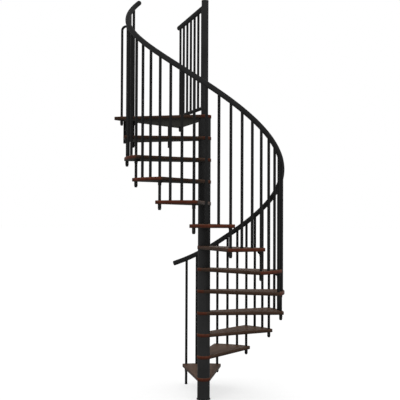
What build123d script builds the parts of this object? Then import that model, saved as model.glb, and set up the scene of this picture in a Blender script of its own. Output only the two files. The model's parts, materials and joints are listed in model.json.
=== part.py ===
from build123d import *
import os
from math import acos, asin, cos, degrees, hypot, radians, sin

# Driving dimensions, in millimetres and degrees
tread_count = 12
floor_to_floor = 2830.0
tread_pitch = 25.15
stair_radius = 800.0
baluster_inset = 28.0
balusters_per_tread = 3

# Column and newel
column_radius = 62.5
column_wall = 3.0
spacer_end_thickness = 8.0
pole_radius = 35.0
pole_wall = 4.0
pole_clearance = 0.3
newel_above_guard = 49.0
cap_radius = 36.0
cap_height = 12.0
cap_rounding = 5.0
cap_plug_length = 25.0
base_radius = 68.5
base_thickness = 12.0
base_chamfer = 3.0

# Treads and landing board
board_thickness = 34.0
hub_radius = 67.5
tread_half_angle = 15.3
corner_rounding = 16.0
edge_rounding = 5.0
landing_near_overhang = 145.0
landing_near_angle = 280.0
landing_far_overhang = 126.0
landing_side_offset = 50.0

# Balusters and their brackets
baluster_radius = 13.5
baluster_clearance = 0.3
stub_below_board = 50.0
end_plug_height = 6.0
end_plug_rounding = 5.0
collar_wall = 3.0
collar_height = 44.0
collar_clearance = 0.2
gusset_reach = 26.0
gusset_height = 28.0
gusset_thickness = 10.0
gusset_tip = 5.0
gusset_arc = 44.0

# Handrail
rail_radius = 25.5
rail_height = 1212.0
rail_gain = 42.0
rail_seat_gap = 0.2
rail_start_angle = -23.0
rail_start_slope = 3.95
rail_join_angle = 12.0
rail_end_angle = 297.8
rail_section_count = 6
rail_plug_length = 6.0
rail_plug_chamfer = 2.0

# Landing guard
guard_angle = 341.2
guard_tube_radius = 12.5
guard_bar_count = 7
guard_first_bar = 80.0
guard_post_inset = 34.0
guard_rail_height = 1097.0
guard_rail_fall = 43.0
guard_rail_overhang = 35.0
guard_foot_rail_radius = 18.0
guard_foot_rail_height = 79.0

# Corner tube of the landing
corner_tube_overhang = 60.0
corner_tube_angle = 281.7
corner_tube_height = 925.0
corner_tube_bend = 40.0

# Plates that fix the landing to the upper floor
plate_width = 30.0
plate_thickness = 8.0
plate_drop = 229.0
plate_top_gap = 8.0
plate_from_corner = 168.0
plate_hole_radius = 5.0
plate_upper_hole_drop = 90.0
plate_lower_hole_drop = 190.0

# Derived sizes
rise = floor_to_floor / (tread_count + 1)
deck_under = floor_to_floor - board_thickness
baluster_circle = stair_radius - baluster_inset
baluster_pitch = tread_pitch / balusters_per_tread
pole_top = floor_to_floor + guard_rail_height + newel_above_guard
rail_slope = rise / tread_pitch + rail_gain / rail_end_angle
rail_start_sweep = rail_join_angle - rail_start_angle
rail_section_angle = (rail_end_angle - rail_join_angle) / rail_section_count
guard_post_radius = stair_radius - guard_post_inset
guard_bar_spacing = (guard_post_radius - guard_first_bar) / (guard_bar_count - 1)
guard_rail_end = stair_radius + guard_rail_overhang
corner_tube_radius = stair_radius + corner_tube_overhang


def plan(radius, angle):
    """Plan point at a compass angle, clockwise from +Y seen from above."""
    return (radius * sin(radians(angle)), radius * cos(radians(angle)))


def at(radius, angle, z=0.0):
    """Location at a compass angle, with its local +Y pointing away from the column."""
    return Rot(0, 0, -angle) * Pos(0, radius, z)


def save(node, shape):
    export_step(shape, f"parts/{node}.step")


def tread_angle(number):
    return (number - 1) * tread_pitch


def baluster_angle(number, step=0):
    """Angle of a tread's balusters, where step 0 is the long one at its leading corner."""
    return tread_angle(number) - tread_pitch / 2 + step * baluster_pitch


def rod(radius, bottom, top):
    return Pos(0, 0, bottom) * Cylinder(radius, top - bottom, align=(Align.CENTER, Align.CENTER, Align.MIN))


def dome(radius):
    return Sphere(radius) - Pos(0, 0, -radius) * Cylinder(2 * radius, 2 * radius)


# Handrail line: a helix with a flatter start
def rail_z(angle):
    z = rise + rail_height + rail_slope * angle
    if angle < rail_join_angle:
        ease = (rail_slope - rail_start_slope) / (2 * rail_start_sweep)
        z += ease * (rail_join_angle - angle) ** 2
    return z


def rail_point(angle):
    x, y = plan(baluster_circle, angle)
    return Vector(x, y, rail_z(angle))


def rail_direction(angle):
    slope = rail_slope
    if angle < rail_join_angle:
        slope -= (rail_slope - rail_start_slope) * (rail_join_angle - angle) / rail_start_sweep
    x, y = plan(baluster_circle, angle + 90)
    return Vector(x, y, degrees(slope)).normalized()


def rail_cutter(angle):
    length = 8 * rail_radius
    return Plane(rail_point(angle), z_dir=rail_direction(angle)) * Cylinder(rail_radius + rail_seat_gap, length)


# Column
def spacer(bottom, top):
    """Hollow column section with a thick disc in each end that centres it on the pole."""
    inner = column_radius - column_wall
    bore = pole_radius + pole_clearance
    profile = Polyline(
        (bore, bottom),
        (column_radius, bottom),
        (column_radius, top),
        (bore, top),
        (bore, top - spacer_end_thickness),
        (inner, top - spacer_end_thickness),
        (inner, bottom + spacer_end_thickness),
        (bore, bottom + spacer_end_thickness),
        close=True,
    )
    return revolve(Plane.XZ * make_face(profile), Axis.Z)


def column_spacers():
    spacers = []
    for number in range(1, tread_count + 2):
        bottom = (number - 1) * rise if number > 1 else base_thickness
        spacers.append(spacer(bottom, number * rise - board_thickness))
    return Compound(spacers)


def base_flange():
    disc = rod(base_radius, 0, base_thickness)
    return chamfer(disc.edges().group_by(Axis.Z)[-1], base_chamfer)


def centre_pole():
    return rod(pole_radius, base_thickness, pole_top) - rod(pole_radius - pole_wall, base_thickness, pole_top)


def newel_cap():
    plug_radius = pole_radius - pole_wall - pole_clearance
    head = rod(cap_radius, pole_top, pole_top + cap_height)
    head = fillet(head.edges().group_by(Axis.Z)[-1], cap_rounding)
    return head + rod(plug_radius, pole_top - cap_plug_length, pole_top)


# Treads and landing
def rounded_board(outline):
    board = extrude(outline, board_thickness)
    rims = board.edges().group_by(Axis.Z)
    return fillet(rims[0] + rims[-1], edge_rounding)


def hub_tangent(radius, angle, side):
    """Point where a line from a corner touches the hub, on one side of it."""
    return plan(hub_radius, angle + side * degrees(acos(hub_radius / radius)))


def tread_side_angle():
    """Angle of a tread's side line beyond its rim, where it meets 1.2 times the stair's radius."""
    offset = degrees(asin(hub_radius / stair_radius)) - degrees(asin(hub_radius / (1.2 * stair_radius)))
    return tread_half_angle - offset


def tread_board():
    corners = [plan(1.2 * stair_radius, side * tread_side_angle()) for side in (-1, 1)]
    touches = [hub_tangent(1.2 * stair_radius, side * tread_side_angle(), side) for side in (-1, 1)]
    wedge = make_face(Polyline(touches[0], corners[0], corners[1], touches[1], close=True))
    outline = (wedge + Circle(hub_radius)) & Circle(stair_radius)
    outer = outline.vertices().filter_by(lambda v: hypot(v.X, v.Y) > 0.9 * stair_radius)
    board = rounded_board(fillet(outer, corner_rounding))
    board -= rod(pole_radius + pole_clearance, 0, board_thickness)
    for side in (-1, 1):
        board -= at(baluster_circle, side * tread_pitch / 2) * rod(
            baluster_radius + baluster_clearance, 0, board_thickness
        )
    return board


def deck_tubes():
    """Tube radius, place radius and angle of each tube through the landing, its long baluster first."""
    return [
        (baluster_radius, baluster_circle, baluster_angle(tread_count + 1)),
        (baluster_radius, baluster_circle, baluster_angle(tread_count, 2)),
        (guard_tube_radius, corner_tube_radius, corner_tube_angle),
        (guard_tube_radius, guard_post_radius, guard_angle),
    ]


def landing_near_corner():
    return plan(stair_radius + landing_near_overhang, landing_near_angle)


def landing_far_corner():
    """Corner at the end of the side that runs parallel to the guard."""
    x, y = plan(stair_radius + landing_far_overhang, guard_angle)
    side_x, side_y = plan(landing_side_offset, guard_angle + 90)
    return (x + side_x, y + side_y)


def landing_board():
    near_touch = hub_tangent(stair_radius + landing_near_overhang, landing_near_angle, -1)
    far_touch = plan(landing_side_offset, guard_angle + 90)
    sector = make_face(Polyline(near_touch, landing_near_corner(), landing_far_corner(), far_touch, close=True))
    outline = sector + Circle(hub_radius)
    outer = outline.vertices().filter_by(lambda v: hypot(v.X, v.Y) > 2 * hub_radius)
    board = rounded_board(fillet(outer, corner_rounding))
    board -= rod(pole_radius + pole_clearance, 0, board_thickness)
    for tube_radius, radius, angle in deck_tubes():
        board -= at(radius, angle) * rod(tube_radius + baluster_clearance, 0, board_thickness)
    return Pos(0, 0, deck_under) * board


# Balusters and brackets
def end_plug(radius):
    plug = rod(radius, -end_plug_height, 0)
    return fillet(plug.edges().group_by(Axis.Z)[0], end_plug_rounding)


def baluster(angle, bottom, plugged=False):
    """Upright tube with its top shaped to the underside of the sloping handrail."""
    tube = at(baluster_circle, angle) * rod(baluster_radius, bottom, rail_z(angle))
    tube -= rail_cutter(angle)
    if plugged:
        tube += at(baluster_circle, angle, bottom) * end_plug(baluster_radius)
    return tube


def baluster_group(number):
    """The long baluster at a tread's leading corner and the two that stand on the tread."""
    if number == 1:
        group = [baluster(baluster_angle(1), 0)]
    else:
        below = (number - 1) * rise - board_thickness
        group = [baluster(baluster_angle(number), below - stub_below_board, plugged=True)]
    if number <= tread_count:
        for step in range(1, balusters_per_tread):
            group.append(baluster(baluster_angle(number, step), number * rise))
    return Compound(group)


def collar(tube_radius):
    """Plain collar round a tube that passes through a board."""
    ring = rod(tube_radius + collar_wall, -collar_height, 0)
    return ring - rod(tube_radius + collar_clearance, -collar_height, 0)


def bracket(tube_radius):
    """Collar with a gusset below the board, towards the column."""
    root = -tube_radius - collar_wall / 2
    edge = -tube_radius - collar_wall - gusset_reach
    web = make_face(
        Line((root, 0), (edge, 0))
        + Line((edge, 0), (edge, -gusset_tip))
        + RadiusArc((edge, -gusset_tip), (root, -gusset_height), -gusset_arc)
        + Line((root, -gusset_height), (root, 0))
    )
    gusset = extrude(Plane.YZ * web, gusset_thickness / 2, both=True)
    return collar(tube_radius) + (gusset - rod(tube_radius + collar_clearance, -collar_height, 0))


def leading_brackets():
    brackets = []
    for number in range(1, tread_count + 1):
        place = at(baluster_circle, baluster_angle(number), number * rise - board_thickness)
        brackets.append(place * bracket(baluster_radius))
    return Compound(brackets)


def trailing_brackets():
    collars = []
    for number in range(1, tread_count + 1):
        place = at(baluster_circle, baluster_angle(number + 1), number * rise - board_thickness)
        collars.append(place * collar(baluster_radius))
    return Compound(collars)


def landing_brackets():
    """Bracket at the landing's long baluster and plain collars round its other tubes."""
    (tube_radius, radius, angle), *others = deck_tubes()
    pieces = [at(radius, angle, deck_under) * bracket(tube_radius)]
    for tube_radius, radius, angle in others:
        pieces.append(at(radius, angle, deck_under) * collar(tube_radius))
    return Compound(pieces)


# Handrail
def rail_start_section():
    stops = [rail_start_angle + rail_start_sweep * i / 4 for i in range(5)]
    line = Spline(
        [rail_point(angle) for angle in stops],
        tangents=[rail_direction(stops[0]), rail_direction(stops[-1])],
    )
    section = Plane(rail_point(stops[0]), z_dir=rail_direction(stops[0])) * Circle(rail_radius)
    return sweep(section, path=line)


def rail_section():
    """One helical length of rail, which starts on the +X side at height zero."""
    height = rail_slope * rail_section_angle
    line = Helix(pitch=rail_slope * 360, height=height, radius=baluster_circle, lefthand=True)
    section = Plane(line @ 0, z_dir=line % 0) * Circle(rail_radius)
    return sweep(section, path=line, is_frenet=True)


def rail_end_caps():
    start = Plane(rail_point(rail_start_angle), z_dir=-rail_direction(rail_start_angle))
    plug = rod(rail_radius, 0, rail_plug_length)
    plug = chamfer(plug.edges().group_by(Axis.Z)[-1], rail_plug_chamfer)
    end = Plane(rail_point(rail_end_angle), z_dir=rail_direction(rail_end_angle))
    return Compound([start * plug, end * dome(rail_radius)])


# Landing guard
def guard_bar(index):
    return guard_first_bar + index * guard_bar_spacing


def guard_rail_z(radius):
    """Height of the guard's top rail, which falls a little from the newel to its end."""
    return floor_to_floor + guard_rail_height - guard_rail_fall * radius / guard_rail_end


def guard_line(radius, z, length):
    """Level rod that runs out from the column's axis along the guard."""
    return Rot(0, 0, -guard_angle) * Pos(0, 0, z) * Rot(-90, 0, 0) * rod(radius, 0, length)


def guard_rail_frame():
    x, y = plan(guard_rail_end, guard_angle)
    return Plane(Vector(0, 0, guard_rail_z(0)), z_dir=Vector(x, y, -guard_rail_fall))


def guard_rail_cutter():
    return guard_rail_frame() * rod(rail_radius + rail_seat_gap, 0, guard_rail_end)


def guard_top_rail():
    length = hypot(guard_rail_end, guard_rail_fall) - rail_radius
    rail = guard_rail_frame() * (rod(rail_radius, 0, length) + Pos(0, 0, length) * dome(rail_radius))
    return rail - rod(pole_radius + rail_seat_gap, floor_to_floor, pole_top)


def guard_foot_rail():
    rail = guard_line(guard_foot_rail_radius, floor_to_floor + guard_foot_rail_height, guard_post_radius)
    rail -= rod(pole_radius + rail_seat_gap, floor_to_floor, pole_top)
    post = at(guard_post_radius, guard_angle)
    return rail - post * rod(guard_tube_radius + rail_seat_gap, floor_to_floor, pole_top)


def guard_bars():
    foot_z = floor_to_floor + guard_foot_rail_height
    foot = guard_line(guard_foot_rail_radius + rail_seat_gap, foot_z, guard_rail_end)
    bars = []
    for index in range(guard_bar_count - 1):
        radius = guard_bar(index)
        bar = at(radius, guard_angle) * rod(guard_tube_radius, foot_z, guard_rail_z(radius))
        bars.append(bar - guard_rail_cutter() - foot)
    return Compound(bars)


def guard_post():
    """Outermost upright, which passes through the landing's far corner."""
    place = at(guard_post_radius, guard_angle)
    bottom = deck_under - stub_below_board
    post = place * rod(guard_tube_radius, bottom, guard_rail_z(guard_post_radius)) - guard_rail_cutter()
    return post + place * Pos(0, 0, bottom) * end_plug(guard_tube_radius)


def corner_tube():
    """Tube from the landing's near corner that bends over to the nearest baluster."""
    x, y = plan(corner_tube_radius, corner_tube_angle)
    target_x, target_y = plan(baluster_circle, baluster_angle(tread_count, 2))
    bottom = deck_under - stub_below_board
    top = floor_to_floor + corner_tube_height
    line = FilletPolyline((x, y, bottom), (x, y, top), (target_x, target_y, top), radius=corner_tube_bend)
    tube = sweep(Plane((x, y, bottom)) * Circle(guard_tube_radius), path=line)
    tube -= Pos(target_x, target_y, 0) * rod(baluster_radius + rail_seat_gap, floor_to_floor, pole_top)
    return tube + Pos(x, y, bottom) * end_plug(guard_tube_radius)


def fixing_plates():
    near = Vector(*landing_near_corner())
    far = Vector(*landing_far_corner())
    along = (far - near).normalized()
    outward = Vector(-along.Y, along.X, 0)
    plates = []
    for centre in (near + along * plate_from_corner, far - along * plate_from_corner):
        frame = Plane(Vector(centre.X, centre.Y, deck_under - plate_drop), x_dir=-along, z_dir=outward)
        length = plate_drop + board_thickness - plate_top_gap
        outline = Pos(0, length / 2) * RectangleRounded(plate_width, length, plate_width / 4)
        plate = extrude(frame * outline, plate_thickness)
        for drop in (plate_upper_hole_drop, plate_lower_hole_drop):
            place = frame * Pos(0, plate_drop - drop, 0)
            plate -= place * Cylinder(plate_hole_radius, 4 * plate_thickness)
        plates.append(plate)
    return Compound(plates)


os.makedirs("parts", exist_ok=True)
save("base_flange", base_flange())
save("centre_pole", centre_pole())
save("newel_cap", newel_cap())
save("column_spacers", column_spacers())

tread = tread_board()
for number in range(1, tread_count + 1):
    save(f"tread_{number:02d}", at(0, tread_angle(number), number * rise - board_thickness) * tread)
save("landing_deck", landing_board())

for number in range(1, tread_count + 2):
    save(f"balusters_{number:02d}", baluster_group(number))
save("leading_brackets", leading_brackets())
save("trailing_brackets", trailing_brackets())
save("landing_brackets", landing_brackets())

section = rail_section()
save("handrail_start", rail_start_section())
for index in range(rail_section_count):
    angle = rail_join_angle + index * rail_section_angle
    save(f"handrail_{index + 1:02d}", Rot(0, 0, 90 - angle) * Pos(0, 0, rail_z(angle)) * section)
save("handrail_end_caps", rail_end_caps())

save("guard_top_rail", guard_top_rail())
save("guard_foot_rail", guard_foot_rail())
save("guard_bars", guard_bars())
save("guard_post", guard_post())
save("corner_tube", corner_tube())
save("fixing_plates", fixing_plates())
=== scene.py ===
import json
import random
from math import cos, degrees, pi, radians, sin

import bmesh
import bpy
from mathutils import Matrix, Vector


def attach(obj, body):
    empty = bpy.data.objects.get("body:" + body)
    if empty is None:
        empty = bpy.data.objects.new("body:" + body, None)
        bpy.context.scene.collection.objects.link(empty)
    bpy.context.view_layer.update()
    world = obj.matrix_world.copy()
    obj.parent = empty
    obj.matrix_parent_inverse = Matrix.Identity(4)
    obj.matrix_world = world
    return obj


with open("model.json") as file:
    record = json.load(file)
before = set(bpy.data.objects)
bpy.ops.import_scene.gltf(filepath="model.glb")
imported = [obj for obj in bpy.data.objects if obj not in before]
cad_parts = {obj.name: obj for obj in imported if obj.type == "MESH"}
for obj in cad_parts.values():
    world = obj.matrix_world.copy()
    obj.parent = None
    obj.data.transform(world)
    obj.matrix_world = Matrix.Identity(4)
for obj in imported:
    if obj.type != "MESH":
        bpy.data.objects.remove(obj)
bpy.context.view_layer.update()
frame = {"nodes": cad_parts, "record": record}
nodes = frame["nodes"]

# Sizes shared with the solids, in metres and degrees. A place in plan is a radius and a compass angle
TREADS = 12
STOREY = 2.830
PITCH = 25.15
RISE = STOREY / (TREADS + 1)
BOARD = 0.034
DECK_UNDER = STOREY - BOARD
BALUSTER_CIRCLE = 0.772
BALUSTER_R = 0.0135
GUARD_TUBE_R = 0.0125
COLLAR_WALL = 0.003
SCREW_DROP = 0.020
RAIL_R = 0.0255
RAIL_HEIGHT = 1.212
RAIL_GAIN = 0.042
RAIL_JOIN = 12.0
RAIL_END = 297.8
RAIL_SECTIONS = 6
CLIMB_PER_DEGREE = RISE / PITCH + RAIL_GAIN / RAIL_END
GUARD_ANGLE = 341.2
GUARD_POST = (0.766, GUARD_ANGLE)
CORNER_TUBE = (0.860, 281.7)
NEAR_CORNER = (0.945, 280.0)
FAR_REACH = 0.926
SIDE_OFFSET = 0.050
PLATE_FROM_CORNER = 0.168
PLATE_THICKNESS = 0.008
PLATE_HOLES = (0.090, 0.190)


def compass(radius, angle, z=0.0):
    """Point at a compass angle, clockwise from +Y seen from above."""
    return Vector((radius * sin(radians(angle)), radius * cos(radians(angle)), z))


def tread_angle(number):
    return (number - 1) * PITCH


def baluster_angle(number, step=0):
    """Angle of a tread's leading baluster, or of one that is some thirds of the pitch further on."""
    return tread_angle(number) - PITCH / 2 + step * PITCH / 3


def tread_under(number):
    return number * RISE - BOARD


def link(name, data):
    """New object in the scene."""
    made = bpy.data.objects.new(name, data)
    bpy.context.scene.collection.objects.link(made)
    return made


# Camera at the photograph's viewpoint
CAMERA_DISTANCE = 8.157
CAMERA_HEIGHT = 1.781
CAMERA_BEARING = 181.6
CAMERA_HEADING = 1.3
CAMERA_PITCH = 1.398
CAMERA_ROLL = 0.242
FOCAL_PIXELS = 816.1
IMAGE_PIXELS = 400
SENSOR_MM = 36.0
FARTHEST_SEEN = 200


def add_camera():
    heading, pitch, roll = (radians(a) for a in (CAMERA_HEADING, CAMERA_PITCH, CAMERA_ROLL))
    right = Vector((cos(heading), -sin(heading), 0))
    forward = Vector((sin(heading) * cos(pitch), cos(heading) * cos(pitch), sin(pitch)))
    up = right.cross(forward)
    rolled_right = cos(roll) * right + sin(roll) * up
    rolled_up = cos(roll) * up - sin(roll) * right
    matrix = Matrix((rolled_right, rolled_up, -forward)).transposed().to_4x4()
    matrix.translation = compass(CAMERA_DISTANCE, CAMERA_BEARING, CAMERA_HEIGHT)
    data = bpy.data.cameras.new("camera")
    data.sensor_fit = "HORIZONTAL"
    data.sensor_width = SENSOR_MM
    data.lens = SENSOR_MM * FOCAL_PIXELS / IMAGE_PIXELS
    data.clip_end = FARTHEST_SEEN
    camera = link("camera", data)
    camera.matrix_world = matrix
    bpy.context.scene.camera = camera


# Node-graph helpers
def new_material(name):
    material = bpy.data.materials.new(name)
    material.use_nodes = True
    material.node_tree.nodes.clear()
    return material, material.node_tree


def add(tree, kind, inputs=None, **settings):
    """Adds a shader node. Inputs are sockets or constants, settings are properties or constants."""
    made = tree.nodes.new("ShaderNode" + kind)
    for key, value in settings.items():
        if hasattr(made, key):
            setattr(made, key, value)
        else:
            made.inputs[key].default_value = value
    for key, value in (inputs or {}).items():
        if isinstance(value, bpy.types.NodeSocket):
            tree.links.new(value, made.inputs[key])
        else:
            made.inputs[key].default_value = value
    return made


def compute(tree, operation, *values):
    return add(tree, "Math", dict(enumerate(values)), operation=operation).outputs[0]


def plus(tree, a, b):
    return compute(tree, "ADD", a, b)


def minus(tree, a, b):
    return compute(tree, "SUBTRACT", a, b)


def times(tree, a, b):
    return compute(tree, "MULTIPLY", a, b)


def between(tree, value, low, high):
    """Number that goes from low, where the value is 0, to high, where it is 1."""
    return plus(tree, low, times(tree, value, high - low))


def vector_math(tree, operation, output, *vectors):
    return add(tree, "VectorMath", dict(enumerate(vectors)), operation=operation).outputs[output]


def split(tree, vector):
    """The vector's X, Y and Z."""
    return add(tree, "SeparateXYZ", {"Vector": vector}).outputs


def mapped(tree, vector, **settings):
    return add(tree, "Mapping", {"Vector": vector}, **settings).outputs["Vector"]


def noise(tree, place, **settings):
    return add(tree, "TexNoise", {"Vector": place}, **settings).outputs["Fac"]


def mix(tree, factor, a, b, blend="MIX"):
    """Colour a at factor 0, and b or its blend with a at 1."""
    inputs = {0: factor, 6: a, 7: b}
    return add(tree, "Mix", inputs, data_type="RGBA", blend_type=blend).outputs[2]


def ramp(tree, value, low, high):
    """Straight grey ramp between two stops, each a position and a level."""
    made = add(tree, "ValToRGB", {"Fac": value})
    for element, (position, level) in zip(made.color_ramp.elements, (low, high)):
        element.position = position
        element.color = grey(level)
    return made.outputs["Color"]


def grey(level):
    return (level, level, level, 1)


def srgb(r, g, b):
    """Linear colour of an 8-bit sRGB one whose parts are all above 10."""
    return (*(((c / 255 + 0.055) / 1.055) ** 2.4 for c in (r, g, b)), 1)


def shade(colour, factor):
    return (*(factor * c for c in colour[:3]), 1)


def add_surface(tree, tone, roughness, bump, gloss):
    inputs = {
        "Base Color": tone,
        "Roughness": roughness,
        "Normal": bump.outputs["Normal"],
        "Specular IOR Level": gloss,
    }
    shader = add(tree, "BsdfPrincipled", inputs)
    add(tree, "OutputMaterial", {"Surface": shader.outputs["BSDF"]})


# Painted metal and rubber: fine texture, slow changes of tone, dust on level faces and worn edges
DUST = srgb(104, 100, 95)
WORN = srgb(72, 71, 70)
WORN_RADIUS = 0.0015
TONE_SPREAD = 0.12
ROUGH_SPREAD = 0.06


def powder_coat(name, colour, rough, gloss=0.012, grain=700.0, dust=0.05, edges=0.0):
    """Grain is how fine the texture is. Dust and edges are shares of the dust's and the worn tone."""
    material, tree = new_material(name)
    place = add(tree, "TexCoord").outputs["Object"]
    normal = add(tree, "NewGeometry").outputs["Normal"]
    cloud = noise(tree, place, Scale=5.0, Detail=6.0, Roughness=0.6)
    lift = ramp(tree, cloud, (0.35, 0.0), (0.7, 1.0))
    tone = mix(tree, lift, shade(colour, 1 - TONE_SPREAD), shade(colour, 1 + TONE_SPREAD))

    level_face = ramp(tree, split(tree, normal)["Z"], (0.6, 0.0), (0.98, 1.0))
    tone = mix(tree, times(tree, times(tree, level_face, dust), lift), tone, DUST)
    if edges:
        bevel = add(tree, "Bevel", samples=4, Radius=WORN_RADIUS).outputs["Normal"]
        match = vector_math(tree, "DOT_PRODUCT", "Value", bevel, normal)
        worn = ramp(tree, minus(tree, 1.0, match), (0.02, 0.0), (0.16, 1.0))
        tone = mix(tree, times(tree, worn, edges), tone, WORN)

    speckle = noise(tree, place, Scale=grain, Detail=2.0)
    bump = add(tree, "Bump", {"Height": speckle}, Strength=0.10, Distance=0.0004)
    roughness = between(tree, cloud, rough - ROUGH_SPREAD, rough + ROUGH_SPREAD)
    add_surface(tree, tone, roughness, bump, gloss)
    return material


# Dark stained board, glued up from staves that run out from the column
# Top faces and their rounded edges: the wood's tone made lighter and greyer by a painted reflection of the
# lacquer's sheen
TOP_PAINTED_SHEEN = srgb(95, 74, 61)
# Sides along the grain: the wood's tone darkened by painted shade
SIDE_TONE_PAINTED_SHADE = srgb(66, 50, 41)
END_GRAIN = srgb(81, 43, 31)
# Undersides: a flat dark painted shade standing in for the shade under the boards
UNDERSIDE_PAINTED_SHADE = srgb(57, 57, 54)
WOOD_GLOSS = 0.015
STAVE = 0.052
MOST_STAVE_SHIFT = 40
MOST_SEAM_SHIFT = 0.013
MOST_GRAIN_SHIFT = 3
STAVE_GRAIN_SHIFT = 7
FIGURE_SCALE = (34, 1.9, 34)
FIBRE_SCALE = (520, 11, 520)
HUB_FACE_R = 0.068
HUB_FACE_END_R = 0.074


def stave_layout(tree, place, angle, draw):
    """Distance across in staves, each stave's own tone from 0 to 1, and places in the grain."""
    seam_shift = MOST_SEAM_SHIFT * draw.random()
    grain_shift = (MOST_GRAIN_SHIFT * draw.random(), MOST_GRAIN_SHIFT * draw.random())
    local = mapped(tree, place, Rotation=(0, 0, radians(angle)), Location=(seam_shift, *grain_shift))
    across = compute(tree, "DIVIDE", split(tree, local)["X"], STAVE)
    stave = compute(tree, "FLOOR", plus(tree, across, draw.randrange(MOST_STAVE_SHIFT)))
    stave_tone = add(tree, "TexWhiteNoise", {"W": stave}, noise_dimensions="1D").outputs["Value"]
    stave_shift = {"X": times(tree, stave_tone, STAVE_GRAIN_SHIFT), "Z": stave}
    shift = add(tree, "CombineXYZ", stave_shift).outputs["Vector"]
    return across, stave_tone, vector_math(tree, "ADD", "Vector", local, shift)


def stain_and_painted_light(tree, place, normal, angle, under, above, below):
    """Tone by the way a face looks, with painted light and shade. End grain, at the rim and round the hub,
    takes the staining redder. The other sides are darker with painted shade, all sides darken towards the
    bottom with painted shade, top faces carry a painted sheen and undersides a flat painted shade.
    """
    along = vector_math(tree, "DOT_PRODUCT", "Value", normal, compass(1.0, angle))
    at_rim = ramp(tree, compute(tree, "ABSOLUTE", along), (0.45, 0.0), (0.8, 1.0))
    spot = split(tree, place)
    plan = add(tree, "CombineXYZ", {"X": spot["X"], "Y": spot["Y"]}).outputs["Vector"]
    from_axis = vector_math(tree, "LENGTH", "Value", plan)
    at_hub = ramp(tree, from_axis, (HUB_FACE_R, 1.0), (HUB_FACE_END_R, 0.0))
    # Rim and hub take the redder end-grain tone; the other sides take the side tone, darkened by painted
    # shade
    tone = mix(tree, compute(tree, "MAXIMUM", at_rim, at_hub), SIDE_TONE_PAINTED_SHADE, END_GRAIN)

    # Painted shade: sides, rim and hub grow darker towards the bottom of the board
    height = compute(tree, "DIVIDE", minus(tree, spot["Z"], under), BOARD)
    tone = mix(tree, 1.0, tone, ramp(tree, height, (0.1, 0.38), (0.8, 1.0)), "MULTIPLY")
    # Painted reflection: faces that look up, and the rounded top edge, take the lighter, greyer top tone
    tone = mix(tree, above, tone, TOP_PAINTED_SHEEN)
    # Painted shade: faces that look down take the flat dark underside tone
    return mix(tree, below, tone, UNDERSIDE_PAINTED_SHADE)


def wood(name, angle, seed, under):
    """Board whose staves run along a compass angle. Under is the height of its underside."""
    material, tree = new_material(name)
    place = add(tree, "TexCoord").outputs["Object"]
    normal = add(tree, "NewGeometry").outputs["Normal"]
    up = split(tree, normal)["Z"]
    # Faces that look up get the painted sheen of the top tone, faces that look down the painted shade of
    # the underside tone
    above = ramp(tree, up, (0.35, 0.0), (0.85, 1.0))
    below = ramp(tree, times(tree, up, -1), (0.35, 0.0), (0.8, 1.0))
    across, stave_tone, in_grain = stave_layout(tree, place, angle, random.Random(seed))

    # Figure, staves and pores vary the tone, less so on the underside
    figure_place = mapped(tree, in_grain, Scale=FIGURE_SCALE)
    figure = noise(tree, figure_place, Scale=1.0, Detail=7.0, Roughness=0.62, Distortion=0.7)
    fibres = noise(tree, mapped(tree, in_grain, Scale=FIBRE_SCALE), Scale=1.0, Detail=3.0)
    bands = ramp(tree, figure, (0.30, 0.0), (0.72, 1.0))
    pores = ramp(tree, fibres, (0.34, 1.0), (0.46, 0.0))
    level = times(tree, between(tree, bands, 0.74, 1.26), between(tree, stave_tone, 0.9, 1.1))
    level = times(tree, level, between(tree, pores, 1.0, 0.75))
    figured = add(tree, "CombineColor", {"Red": level, "Green": level, "Blue": level}).outputs["Color"]
    tone_with_painted_light = stain_and_painted_light(tree, place, normal, angle, under, above, below)
    tone = mix(tree, between(tree, below, 1.0, 0.3), tone_with_painted_light, figured, "MULTIPLY")

    # Fibres stand proud and the seams between the staves are sunk
    from_middle = compute(tree, "ABSOLUTE", minus(tree, compute(tree, "FRACT", across), 0.5))
    seam = ramp(tree, from_middle, (0.484, 0.0), (0.497, 1.0))
    relief = minus(tree, times(tree, fibres, 0.6), times(tree, seam, 0.5))
    bump = add(tree, "Bump", {"Height": relief}, Strength=0.35, Distance=0.0008)
    roughness = between(tree, fibres, 0.46, 0.60)
    add_surface(tree, tone, roughness, bump, between(tree, below, WOOD_GLOSS, 0.0))
    return material


# Mesh helpers
SMOOTH_ANGLE = 35.0


def link_mesh(name, bm, material):
    """Makes the mesh a piece of the part, shaded smooth up to its edges."""
    bmesh.ops.recalc_face_normals(bm, faces=bm.faces)
    mesh = bpy.data.meshes.new(name)
    bm.to_mesh(mesh)
    bm.free()
    mesh.materials.append(material)
    mesh.shade_smooth()
    mesh.set_sharp_from_angle(angle=radians(SMOOTH_ANGLE))
    piece = link(name, mesh)
    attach(piece, "root")


def frame_at(origin, direction):
    """Matrix with its local Z along a direction."""
    matrix = Vector(direction).to_track_quat("Z", "Y").to_matrix().to_4x4()
    matrix.translation = origin
    return matrix


def ring(bm, matrix, radius, height, segments, hexagon=False):
    """Vertices round local Z, on a circle or on the hexagon round it."""
    made = []
    for step in range(segments):
        turn = 2 * pi * step / segments
        reach = radius / cos((turn + pi / 6) % (pi / 3) - pi / 6) if hexagon else radius
        made.append(bm.verts.new(matrix @ Vector((reach * cos(turn), reach * sin(turn), height))))
    return made


def bridge(bm, low, high):
    """Quads from one ring to the next."""
    for step in range(len(low)):
        following = (step + 1) % len(low)
        bm.faces.new((low[step], low[following], high[following], high[step]))


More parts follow.
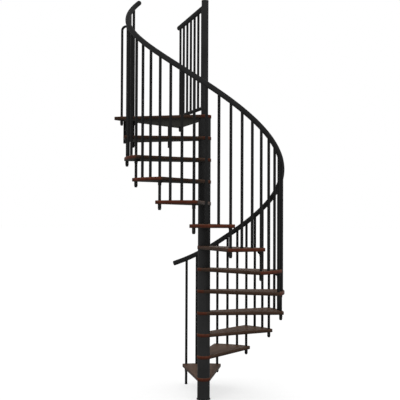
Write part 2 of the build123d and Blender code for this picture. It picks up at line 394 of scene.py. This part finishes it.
def solid_round(bm, profile, matrix, segments):
    """Revolves (radius, height) points about local Z, with flat ends."""
    rings = [ring(bm, matrix, radius, height, segments) for radius, height in profile]
    for low, high in zip(rings, rings[1:]):
        bridge(bm, low, high)
    for edge, (_, height) in ((rings[0], profile[0]), (rings[-1], profile[-1])):
        centre = bm.verts.new(matrix @ Vector((0, 0, height)))
        for step in range(segments):
            bm.faces.new((edge[step], edge[(step + 1) % segments], centre))


def sleeve(bm, tube_radius, outline, matrix, segments):
    """Revolves a closed outline of (distance from the tube's side, height) points."""
    rings = [ring(bm, matrix, tube_radius + out, height, segments) for out, height in outline]
    for low, high in zip(rings, rings[1:] + rings[:1]):
        bridge(bm, low, high)


# Small pieces. An outline's points are (distance from a tube's side, height), a profile's (radius, height)
GASKET_OUTLINE = ((0.0, 0.0), (0.0022, 0.0), (0.0020, 0.0012), (0.0008, 0.0019), (0.0, 0.0019))
SCREW_R = 0.0042
SCREW_HEIGHT = 0.0022
SCREW_SUNK = 0.0006
SCREW_SEGMENTS = 24
BUTTON_SHARES = ((1.0, 0.0), (0.98, 0.25), (0.86, 0.62), (0.66, 1.0))
SOCKET_WIDTH_SHARE = 0.5
SOCKET_FLOOR_SHARE = 0.3
JOINT_OUTLINE = ((-0.001, -0.0009), (0.00025, -0.0009), (0.00025, 0.0009), (-0.001, 0.0009))
WASHER_BORE_R = 0.0052
WASHER_OUTLINE = ((0.0, 0.0), (0.0048, 0.0), (0.0048, 0.0012), (0.0044, 0.0016), (0.0, 0.0016))
BOLT_HEAD_PROFILE = ((0.0085, 0.0016), (0.0085, 0.0064), (0.0076, 0.0072))
BOLT_SHANK_PROFILE = ((0.0048, 0.001), (0.0048, -PLATE_THICKNESS))
FOOT_OUTLINE = (
    (0.0, 0.0002), (0.0015, 0.0002), (0.0023, 0.0012), (0.0015, 0.0080), (0.0005, 0.0095), (0.0, 0.0095),
)


def deck_tubes():
    """Tube radius and place in plan of the tubes through the landing."""
    return [
        (BALUSTER_R, BALUSTER_CIRCLE, baluster_angle(TREADS, 2)),
        (BALUSTER_R, BALUSTER_CIRCLE, baluster_angle(TREADS + 1)),
        (GUARD_TUBE_R, *CORNER_TUBE),
        (GUARD_TUBE_R, *GUARD_POST),
    ]


def collar_places():
    """Tube radius, place in plan and top of each collar."""
    places = []
    for number in range(1, TREADS + 1):
        for corner in (number, number + 1):
            places.append((BALUSTER_R, BALUSTER_CIRCLE, baluster_angle(corner), tread_under(number)))
    return places + [(*tube, DECK_UNDER) for tube in deck_tubes()]


def add_gaskets(material):
    """Thin seals where the tubes stand on or pass through a board."""
    bm = bmesh.new()
    places = []
    for number in range(1, TREADS + 1):
        angles = [baluster_angle(number, step) for step in (0, 1, 2)]
        if number < TREADS:
            angles.append(baluster_angle(number + 1))
        places += [(BALUSTER_R, compass(BALUSTER_CIRCLE, angle, number * RISE)) for angle in angles]
    places += [(tube, compass(radius, angle, STOREY)) for tube, radius, angle in deck_tubes()]
    for tube, spot in places:
        sleeve(bm, tube, GASKET_OUTLINE, Matrix.Translation(spot), segments=28)
    link_mesh("baluster_gaskets", bm, material)


def button_screw(bm, matrix):
    """Button head with a hexagon socket."""
    rings = []
    for radius_share, height_share in BUTTON_SHARES:
        rings.append(ring(bm, matrix, radius_share * SCREW_R, height_share * SCREW_HEIGHT, SCREW_SEGMENTS))
    for height in (SCREW_HEIGHT, SOCKET_FLOOR_SHARE * SCREW_HEIGHT):
        rings.append(ring(bm, matrix, SOCKET_WIDTH_SHARE * SCREW_R, height, SCREW_SEGMENTS, hexagon=True))
    for low, high in zip(rings, rings[1:]):
        bridge(bm, low, high)
    bm.faces.new(rings[0])
    bm.faces.new(rings[-1])


def add_collar_screws(material):
    """One screw on the outer side of each collar."""
    bm = bmesh.new()
    for tube, radius, angle, top in collar_places():
        seat = compass(radius + tube + COLLAR_WALL - SCREW_SUNK, angle, top - SCREW_DROP)
        button_screw(bm, frame_at(seat, compass(1, angle)))
    link_mesh("collar_screws", bm, material)


def add_rail_joints(material):
    """Hairline rings where one length of rail meets the next."""
    bm = bmesh.new()
    climb_per_radian = degrees(CLIMB_PER_DEGREE)
    for index in range(RAIL_SECTIONS):
        angle = RAIL_JOIN + index * (RAIL_END - RAIL_JOIN) / RAIL_SECTIONS
        height = RISE + RAIL_HEIGHT + CLIMB_PER_DEGREE * angle
        along = compass(BALUSTER_CIRCLE, angle + 90, climb_per_radian).normalized()
        matrix = frame_at(compass(BALUSTER_CIRCLE, angle, height), along)
        sleeve(bm, RAIL_R, JOINT_OUTLINE, matrix, segments=48)
    link_mesh("rail_joints", bm, material)


def add_plate_bolts(material):
    """Hexagon heads on washers that hold the fixing plates to the upper floor."""
    near = compass(*NEAR_CORNER)
    far = compass(FAR_REACH, GUARD_ANGLE) + compass(SIDE_OFFSET, GUARD_ANGLE + 90)
    along = (far - near).normalized()
    inward = Vector((along.y, -along.x, 0))
    bm = bmesh.new()
    for centre in (near + along * PLATE_FROM_CORNER, far - along * PLATE_FROM_CORNER):
        for drop in PLATE_HOLES:
            matrix = frame_at(Vector((centre.x, centre.y, DECK_UNDER - drop)), inward)
            sleeve(bm, WASHER_BORE_R, WASHER_OUTLINE, matrix, segments=24)
            solid_round(bm, BOLT_HEAD_PROFILE, matrix, segments=6)
            solid_round(bm, BOLT_SHANK_PROFILE, matrix, segments=16)
    link_mesh("plate_bolts", bm, material)


def add_foot(material):
    """Rubber foot under the first baluster."""
    bm = bmesh.new()
    matrix = Matrix.Translation(compass(BALUSTER_CIRCLE, baluster_angle(1)))
    sleeve(bm, BALUSTER_R, FOOT_OUTLINE, matrix, segments=36)
    link_mesh("first_baluster_foot", bm, material)


# Materials on the solids and the small pieces
TREAD_SEED = 40
LANDING_SEED = 77
LANDING_STAVE_ANGLE = 312.0

paints = {
    "column_metal": powder_coat("column_paint", srgb(41, 41, 41), rough=0.5, edges=0.3),
    "baluster_metal": powder_coat("baluster_paint", srgb(31, 31, 31), rough=0.45),
    "bracket_metal": powder_coat("bracket_paint", srgb(30, 30, 30), rough=0.5, edges=0.3),
    "rail_metal": powder_coat("rail_paint", srgb(38, 38, 38), rough=0.42, gloss=0.004, grain=420.0),
}
rubber = powder_coat("rubber", srgb(18, 18, 18), rough=0.8, gloss=0.01, grain=900.0)
steel = powder_coat("screw_paint", srgb(46, 45, 44), rough=0.35, gloss=0.15, grain=1200.0, edges=0.6)
dark_line = powder_coat("joint_line", srgb(12, 12, 12), rough=0.9, gloss=0.0, dust=0.0)


def dress(name, material):
    """Puts one material on a node's whole mesh."""
    mesh = nodes[name].data
    mesh.materials.clear()
    mesh.materials.append(material)
    for polygon in mesh.polygons:
        polygon.material_index = 0


for subpart in frame["record"]["subparts"]:
    if subpart["material_slot"] in paints:
        dress(subpart["node"], paints[subpart["material_slot"]])
for number in range(1, TREADS + 1):
    seed = TREAD_SEED + number
    board = wood(f"tread_wood_{number:02d}", tread_angle(number), seed, tread_under(number))
    dress(f"tread_{number:02d}", board)
dress("landing_deck", wood("landing_wood", LANDING_STAVE_ANGLE, LANDING_SEED, DECK_UNDER))

add_gaskets(rubber)
add_collar_screws(steel)
add_rail_joints(dark_line)
add_plate_bolts(steel)
add_foot(rubber)

# Floor, backdrop and light. A lamp has a name, a place, the height that it is aimed at and a power
FLOOR_HALF = 150.0
FLOOR_DROP = 0.0006
FLOOR_TONE = 0.80
FLOOR_SEEN_TONE = 0.42
FLOOR_SEEN_GLOW = 0.62
AMBIENT = 0.96
LAMP_SIZE = 6.0
LAMPS = (
    ("key", (-5.5, -7.0, 7.5), 1.9, 160),
    ("fill", (6.5, -5.5, 3.5), 1.9, 80),
    ("top", (0.5, 1.0, 9.0), 1.5, 20),
)


def seen(tree):
    """1 for rays from the camera and for reflected and transmitted ones, and 0 for all others."""
    path = add(tree, "LightPath").outputs
    direct = compute(tree, "MAXIMUM", path["Is Camera Ray"], path["Is Glossy Ray"])
    return compute(tree, "MAXIMUM", direct, path["Is Transmission Ray"])


def add_floor():
    """Pale floor that is seen as white with a soft shadow, and lights the object as a plain one."""
    material, tree = new_material("floor")
    plain = add(tree, "BsdfDiffuse", Color=grey(FLOOR_TONE)).outputs[0]
    lit = add(tree, "BsdfDiffuse", Color=grey(FLOOR_SEEN_TONE)).outputs[0]
    glow = add(tree, "Emission", Color=grey(1), Strength=FLOOR_SEEN_GLOW).outputs[0]
    look = add(tree, "AddShader", {0: lit, 1: glow}).outputs[0]
    surface = add(tree, "MixShader", {0: seen(tree), 1: plain, 2: look}).outputs[0]
    add(tree, "OutputMaterial", {"Surface": surface})
    signs = ((-1, -1), (1, -1), (1, 1), (-1, 1))
    corners = [(FLOOR_HALF * x, FLOOR_HALF * y, -FLOOR_DROP) for x, y in signs]
    mesh = bpy.data.meshes.new("floor")
    mesh.from_pydata(corners, [], [(0, 1, 2, 3)])
    mesh.materials.append(material)
    link("floor", mesh)


def set_world():
    """Even light from all round, with a white backdrop."""
    world = bpy.data.worlds.new("studio")
    world.use_nodes = True
    tree = world.node_tree
    tree.nodes.clear()
    ambient = add(tree, "Background", Color=grey(1), Strength=AMBIENT).outputs[0]
    white = add(tree, "Background", Color=grey(1), Strength=1.0).outputs[0]
    mixed = add(tree, "MixShader", {0: seen(tree), 1: ambient, 2: white}).outputs[0]
    add(tree, "OutputWorld", {"Surface": mixed})
    bpy.context.scene.world = world


def add_lamp(name, place, aim_height, power):
    data = bpy.data.lights.new(name, "AREA")
    data.shape = "DISK"
    data.size = LAMP_SIZE
    data.energy = power
    lamp = link(name, data)
    lamp.location = place
    lamp.rotation_euler = (Vector((0, 0, aim_height)) - Vector(place)).to_track_quat("-Z", "Y").to_euler()


add_camera()
add_floor()
set_world()
for lamp in LAMPS:
    add_lamp(*lamp)

bpy.context.scene.view_settings.view_transform = "Standard"
